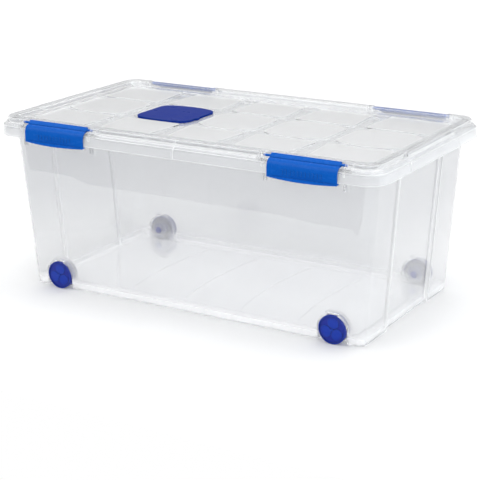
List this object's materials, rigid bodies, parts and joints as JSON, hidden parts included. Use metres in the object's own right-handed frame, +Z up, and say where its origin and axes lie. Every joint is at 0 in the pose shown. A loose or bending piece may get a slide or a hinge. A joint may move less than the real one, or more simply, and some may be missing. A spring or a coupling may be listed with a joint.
{
  "type": "wheeled storage box",
  "caption": "Long rectangular clear storage box on low side wheels, with a lift-off tiled lid, hinged side clips and a flat cover plate.",
  "frame": {"origin": "middle of the box's footprint, on the floor", "axes": "+X along the long side, +Y across it, +Z up"},
  "size_m": [0.7212, 0.4096, 0.3005],
  "materials": {
    "clear_plastic": "clear moulded polypropylene, slightly milky",
    "lid_plastic": "clear moulded polypropylene, frosted on the tiles and glossy in the grooves",
    "clip_blue": "royal blue moulded plastic, fine satin",
    "wheel_blue": "deep blue moulded plastic",
    "plate_blue": "navy blue moulded plastic"
  },
  "bodies": {
    "tub": {"tub": "clear_plastic"},
    "lid": {"lid": "lid_plastic", "cover_plate": "plate_blue"},
    "clip_front_left": {"clip_front_left": "clip_blue"},
    "clip_front_right": {"clip_front_right": "clip_blue"},
    "clip_back_left": {"clip_back_left": "clip_blue"},
    "clip_back_right": {"clip_back_right": "clip_blue"},
    "wheel_front_left": {"wheel_front_left": "wheel_blue"},
    "wheel_front_right": {"wheel_front_right": "wheel_blue"},
    "wheel_back_left": {"wheel_back_left": "wheel_blue"},
    "wheel_back_right": {"wheel_back_right": "wheel_blue"}
  },
  "joints": [
    {"name": "lid_lift", "type": "slide", "parent": "tub", "child": "lid", "axis": [0, 0, 1], "range_m": [0, 0.12]},
    {"name": "clip_front_left_hinge", "type": "hinge", "parent": "lid", "child": "clip_front_left", "pos_m": [-0.232, -0.186, 0.2952], "axis": [-1, 0, 0], "range_deg": [0, 110]},
    {"name": "clip_front_right_hinge", "type": "hinge", "parent": "lid", "child": "clip_front_right", "pos_m": [0.232, -0.186, 0.2952], "axis": [-1, 0, 0], "range_deg": [0, 110]},
    {"name": "clip_back_left_hinge", "type": "hinge", "parent": "lid", "child": "clip_back_left", "pos_m": [-0.232, 0.186, 0.2952], "axis": [1, 0, 0], "range_deg": [0, 110]},
    {"name": "clip_back_right_hinge", "type": "hinge", "parent": "lid", "child": "clip_back_right", "pos_m": [0.232, 0.186, 0.2952], "axis": [1, 0, 0], "range_deg": [0, 110]},
    {"name": "wheel_front_left_spin", "type": "hinge", "parent": "tub", "child": "wheel_front_left", "pos_m": [-0.2655, -0.156, 0.024], "axis": [0, 1, 0], "continuous": true},
    {"name": "wheel_front_right_spin", "type": "hinge", "parent": "tub", "child": "wheel_front_right", "pos_m": [0.2655, -0.156, 0.024], "axis": [0, 1, 0], "continuous": true},
    {"name": "wheel_back_left_spin", "type": "hinge", "parent": "tub", "child": "wheel_back_left", "pos_m": [-0.2655, 0.156, 0.024], "axis": [0, 1, 0], "continuous": true},
    {"name": "wheel_back_right_spin", "type": "hinge", "parent": "tub", "child": "wheel_back_right", "pos_m": [0.2655, 0.156, 0.024], "axis": [0, 1, 0], "continuous": true}
  ]
}
